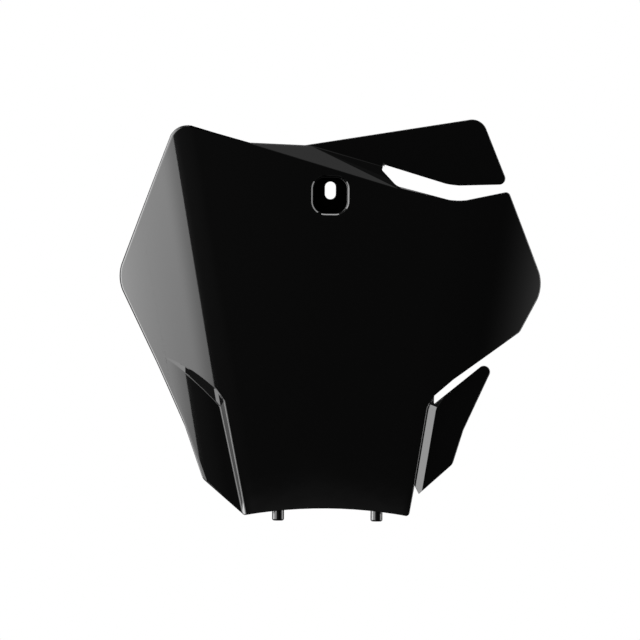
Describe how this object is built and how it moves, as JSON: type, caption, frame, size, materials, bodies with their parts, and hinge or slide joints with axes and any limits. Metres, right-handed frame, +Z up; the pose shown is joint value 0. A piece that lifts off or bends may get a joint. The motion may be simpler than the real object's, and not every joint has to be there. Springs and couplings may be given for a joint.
{
  "type": "motocross front number plate",
  "caption": "Moulded plastic front number plate for an off-road motorbike, with swept wings, hose slots, a screw recess and locating lugs under its edge.",
  "frame": {"origin": "middle of the screw slot, on the seat in the recess that the screw head rests on", "axes": "+Z up, +Y towards the back where the plate meets the bike, +X to the right as seen from the front; the front faces -Y"},
  "size_m": [0.2721, 0.0283, 0.2595],
  "materials": {
    "gloss_black": "gloss black moulded"
  },
  "bodies": {
    "root": {"number_plate": "gloss_black"}
  },
  "joints": []
}
